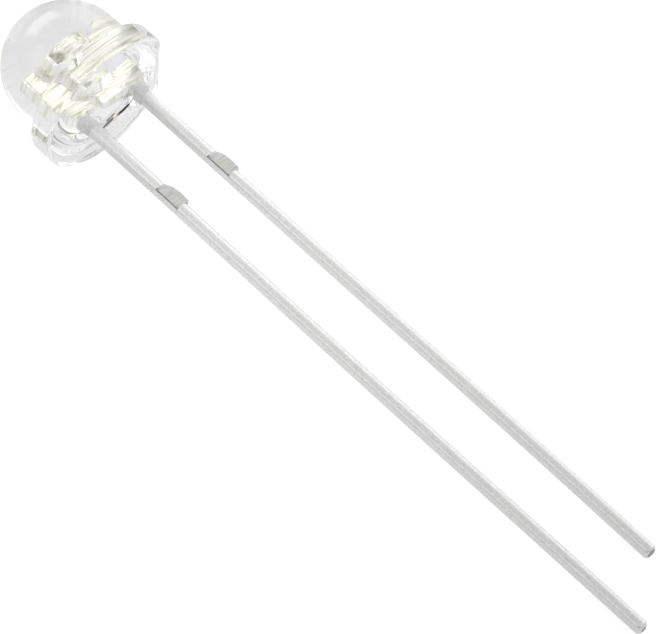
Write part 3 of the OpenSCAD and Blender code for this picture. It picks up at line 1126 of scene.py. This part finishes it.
phosphor_look, tree, shader = finish_of("phosphor")
powder = grain_in(tree, stretch=(1, 1, 1), scale=20, detail=4)
settled = grain_in(tree, stretch=(1, 1, 1), scale=2.5, detail=2)
powder_tone = tones(tree, powder, (0.3, POWDER_DARK), (0.7, POWDER_LIGHT))
patchy = between(tree, settled, 0.3, 0.7, low=0.95, high=1.04)
plug(tree, shader.inputs["Base Color"], shaded(tree, powder_tone, patchy))
plug(tree, shader.inputs["Roughness"], between(tree, powder, 0.3, 0.7, low=0.5, high=0.7))
relief(tree, shader, powder, strength=0.4, depth=0.00001)
print("phosphor:", len(tree.nodes), "nodes")

# %% Finish: chip and adhesive
CHIP_DARK = (0.48, 0.64, 0.82)
CHIP_LIGHT = (0.62, 0.76, 0.88)
GLUE_DARK = (0.84, 0.81, 0.72)
GLUE_LIGHT = (0.92, 0.90, 0.83)

chip_look, tree, shader = finish_of("chip", roughness=0.1)
facets = grain_in(tree, stretch=(1, 1, 1), scale=12, detail=2)
chip_tone = tones(tree, facets, (0.4, CHIP_DARK), (0.6, CHIP_LIGHT))
plug(tree, shader.inputs["Base Color"], chip_tone)
relief(tree, shader, facets, strength=0.1, depth=0.00001)

glue_look, tree, shader = finish_of("glue", roughness=0.7)
pores = grain_in(tree, stretch=(1, 1, 1), scale=25, detail=3)
glue_tone = tones(tree, pores, (0.35, GLUE_DARK), (0.6, GLUE_LIGHT))
plug(tree, shader.inputs["Base Color"], glue_tone)
relief(tree, shader, pores, strength=0.5, depth=0.00001)
print("adhesive:", len(tree.nodes), "nodes")

# %% Finish: gold
GOLD_DARK = (0.84, 0.74, 0.56)
GOLD_LIGHT = (0.92, 0.85, 0.70)

gold_look, tree, shader = finish_of("gold", metallic=1.0)
drawn = grain_in(tree, stretch=(3, 60, 3), scale=1.5, detail=2)
gold_tone = tones(tree, drawn, (0.3, GOLD_DARK), (0.7, GOLD_LIGHT))
plug(tree, shader.inputs["Base Color"], gold_tone)
plug(tree, shader.inputs["Roughness"], between(tree, drawn, 0.3, 0.7, low=0.18, high=0.32))
relief(tree, shader, drawn, strength=0.2, depth=0.000005)
print("gold:", len(tree.nodes), "nodes")

# %% [markdown]
# ### The dark slivers
# The sliver is dark from outside, a painted reflection, with a painted glint at one point. The side
# that faces into the resin is painted light, because it lies against the bright underside and would
# otherwise darken the whole flange. A ramp along the lamp's x gives the dark grey end, the orange
# painted glint and the black end.

# %% Finish: dark slivers, a painted reflection
# The inward side is painted light; the stops paint a dark reflection with an orange painted glint.
SLIVER_PAINTED_LIGHT = (0.92, 0.92, 0.92, 1)
SLIVER_PAINTED_TONES = (
    (0.0, (0.24, 0.24, 0.24)),
    (0.38, (0.2, 0.19, 0.18)),
    (0.44, (0.95, 0.80, 0.70)),
    (0.52, (0.7, 0.52, 0.42)),
    (0.6, (0.05, 0.05, 0.05)),
    (1.0, (0.04, 0.04, 0.04)),
)

sliver_look, tree, shader = finish_of("dark_sliver", metallic=1.0, roughness=0.35)
along_sliver = between(tree, lamp_axis(tree, "X"), LONG_SLIVER_START[0], LONG_SLIVER_END[0])
outer_tone = tones(tree, along_sliver, *SLIVER_PAINTED_TONES)
# Painted light on the side that faces into the resin.
inward = facing(tree, axis_z, low=0.0, high=0.2)
plug(tree, shader.inputs["Base Color"], mixed(tree, inward, outer_tone, SLIVER_PAINTED_LIGHT))
print("shred:", len(tree.nodes), "nodes")

# %% [markdown]
# ## Dress the pieces
# Each piece stands for its solid and takes its finish. A lead has five finishes on one mesh: tin
# outside, silver inside the resin, and sheared or bare metal at the cuts; the bare one also lies
# along the stub's corner as a painted shade. Vertex colours could mix them, but the borders on a
# real lead are sharp, so each face takes one material by its place and by the way it faces.

# %% Dress the pieces
TIN, SILVER, SHEARED, BARE, CUT_SILVER = range(5)
PLATED_Z = 0.25
FLAT_FACE = 0.7
SIDE_FACE = 0.6
# The bare finish along the stub's sharp corner is a painted shade:
SHADED_EDGE_X = 0.05
SHADED_EDGE_Y = 0.1
CORNER_X = LEAD_T / 2 - SHADED_EDGE_X
CORNER_Y = LEAD_T / 2 - SHADED_EDGE_Y
TIP_CUT = 0.02


def dress(piece, slot_name, looks, *replaced):
    """Gives a piece its finishes and its body, and hides the solids that it stands for. The slot's
    name is not used.
    """
    piece.data.materials.clear()
    for look in looks:
        piece.data.materials.append(look)
    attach(piece, "root")
    if replaced:
        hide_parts(*replaced)


def lead_finish(at, normal, lead_x, length):
    """Which finish a face of a lead has, from its middle in lamp millimetres and its normal."""
    if at.z > PLATED_Z:
        return SILVER if abs(normal.dot(axis_y)) > FLAT_FACE else CUT_SILVER
    if 0 < stub_along(at.z) < 1:
        # Painted shade: the dark bare finish along the stub's sharp corner.
        if at.x - lead_x > CORNER_X and at.y > CORNER_Y:
            return BARE
        return TIN if normal.dot(axis_x) > SIDE_FACE else SHEARED
    return BARE if at.z < -length + TIP_CUT else TIN


lead_looks = (tin_look, silver_look, sheared_look, bare_look, cut_silver_look)
dark_slivers = (long_sliver, short_sliver)
dress(resin, "clear_epoxy", [resin_look], "epoxy_lens")
dress(anode, "tinned_lead", lead_looks, "anode_lead")
dress(cathode, "tinned_lead", lead_looks, "cathode_lead")
dress(phosphor, "phosphor", [phosphor_look], "phosphor_fill")
for sliver in dark_slivers:
    dress(sliver, "clear_epoxy", [sliver_look])
dress(wire_to_anode, "gold_wire", [gold_look], "bond_wire_anode")
dress(wire_to_cathode, "gold_wire", [gold_look], "bond_wire_cathode")
for lead, lead_x, length in ((anode, LEAD_X, ANODE_L), (cathode, -LEAD_X, CATHODE_L)):
    for face in lead.data.polygons:
        face.material_index = lead_finish(TO_LAMP @ face.center, face.normal, lead_x, length)
for node, look in (("led_die", chip_look), ("die_attach", glue_look)):
    frame["nodes"][node].data.materials.clear()
    frame["nodes"][node].data.materials.append(look)
print("dressed", len(frame["nodes"]), "solids and", len(dark_slivers), "dark_slivers")

# %% [markdown]
# ## Table and light
# The lamp lies on a white sheet that glows a little, as on a light table, which leaves it without
# a hard shadow. The sheet is white to the camera. Through the resin it would then be white too, and
# the dome would vanish, so to every other ray the sheet is a light grey on the dome's side and
# white under the leads. That is what gives the dome its tone and the tin its bright lower edge.

# %% Table
TABLE_HALF = 0.6
SHEET_GREY = (0.72, 0.72, 0.72)
SHEET_WHITE = (1.0, 1.0, 1.0)
GREY_TO_X = -0.0125
WHITE_FROM_X = -0.006
SHEET_BASE = (0.22, 0.22, 0.22, 1)
SHEET_GLOW = 0.82
CORNERS = ((-1, -1), (1, -1), (1, 1), (-1, 1))


def soft_edge(tree, source, start, stop):
    """A soft step from 0 to 1 while the source goes from start to stop."""
    step = add(tree, "ShaderNodeMapRange", Value=source, From_Min=start, From_Max=stop)
    step.interpolation_type = "SMOOTHSTEP"
    return step.outputs["Result"]


table_mesh = bpy.data.meshes.new("table")
table_points = [(x * TABLE_HALF, y * TABLE_HALF, 0) for x, y in CORNERS]
table_mesh.from_pydata(table_points, [], [(0, 1, 2, 3)])
table = in_scene("table", table_mesh)
table_look, tree, shader = finish_of("table_sheet", roughness=0.9)
table_mesh.materials.append(table_look)
shader.inputs["Base Color"].default_value = SHEET_BASE
shader.inputs["Emission Strength"].default_value = SHEET_GLOW
sheet_place = add(tree, "ShaderNodeTexCoord")
sheet_x = add(tree, "ShaderNodeSeparateXYZ", sheet_place.outputs["Object"]).outputs["X"]
sheet_run = soft_edge(tree, sheet_x, GREY_TO_X, WHITE_FROM_X)
sheet_tone = tones(tree, sheet_run, (0.0, SHEET_GREY), (1.0, SHEET_WHITE))
to_camera = add(tree, "ShaderNodeLightPath").outputs["Is Camera Ray"]
sheet_glow = mixed(tree, to_camera, sheet_tone, (*SHEET_WHITE, 1))
plug(tree, shader.inputs["Emission Color"], sheet_glow)
print(f"table {2 * TABLE_HALF:.1f} m square")

# %% [markdown]
# The light is a studio room drawn into the world: grey at the horizon, nearly white overhead, with
# soft boxes as bright patches and one dark card. Area lamps would light the object as well, but
# the polished resin mirrors the room, and a drawn room has soft edges and little noise. Each patch
# is a direction, half its width, half its height and what it adds to the sky.

# %% Light
HORIZON = (0.62, 0.62, 0.63)
LOW_SKY = (0.70, 0.70, 0.71)
HIGH_SKY = (0.95, 0.95, 0.95)
PATCHES = (
    ((-0.25, 0.88, 0.36), 0.6, 0.34, 0.66),
    ((-0.89, 0.12, 0.44), 0.32, 0.19, 1.9),
    ((0.60, 0.50, 0.62), 0.3, 0.2, 0.4),
    ((0.45, -0.76, 0.46), 0.32, 0.2, -0.55),
    ((-0.25, -0.75, 0.60), 0.35, 0.25, 0.4),
)
SIDE_FADE_FROM = 1.35
SIDE_FADE_TO = 0.75
TOP_FADE_FROM = 1.45
TOP_FADE_TO = 0.65
FRONT_FADE_TO = 0.1

world = bpy.data.worlds.new("studio")
bpy.context.scene.world = world
world.use_nodes = True
sky = world.node_tree
sky_way = add(sky, "ShaderNodeTexCoord").outputs["Generated"]


def along_way(direction):
    """How far the sky's direction goes along another one."""
    dot = add(sky, "ShaderNodeVectorMath", sky_way, direction, operation="DOT_PRODUCT")
    return dot.outputs["Value"]


def off_centre(direction):
    """How far off a line the sky's direction is, to either side."""
    return add(sky, "ShaderNodeMath", along_way(direction), operation="ABSOLUTE").outputs["Value"]


def softbox(direction, width, height, strength):
    """A patch of sky with soft edges; width and height are sines of half angles."""
    centre = Vector(direction).normalized()
    level = Vector((0, 0, 1)).cross(centre).normalized()
    upright = centre.cross(level)
    sides = soft_edge(sky, off_centre(level), width * SIDE_FADE_FROM, width * SIDE_FADE_TO)
    ends = soft_edge(sky, off_centre(upright), height * TOP_FADE_FROM, height * TOP_FADE_TO)
    front = soft_edge(sky, along_way(centre), 0.0, FRONT_FADE_TO)
    return times(sky, times(sky, times(sky, sides, ends), front), strength)


sky_height = add(sky, "ShaderNodeSeparateXYZ", sky_way).outputs["Z"]
light = tones(sky, sky_height, (0.0, HORIZON), (0.12, LOW_SKY), (0.5, HIGH_SKY))
for patch in PATCHES:
    light = add(sky, "ShaderNodeMath", softbox(*patch), light, operation="ADD").outputs["Value"]
plug(sky, sky.nodes["Background"].inputs["Color"], light)
print("sky:", len(PATCHES), "patches")

# %% [markdown]
# The clear body needs many bounces, or its depths go dark. The Standard view transform keeps the
# white of the sheet white, where a film-like one would grey it.

# %% Colour and bounces
scene = bpy.context.scene
scene.view_settings.view_transform = "Standard"
scene.cycles.use_denoising = True
scene.cycles.max_bounces = 24
scene.cycles.transmission_bounces = 20
scene.cycles.glossy_bounces = 8
scene.cycles.diffuse_bounces = 6
scene.cycles.transparent_max_bounces = 16
scene.cycles.sample_clamp_indirect = 10
print("bounces:", scene.cycles.max_bounces)
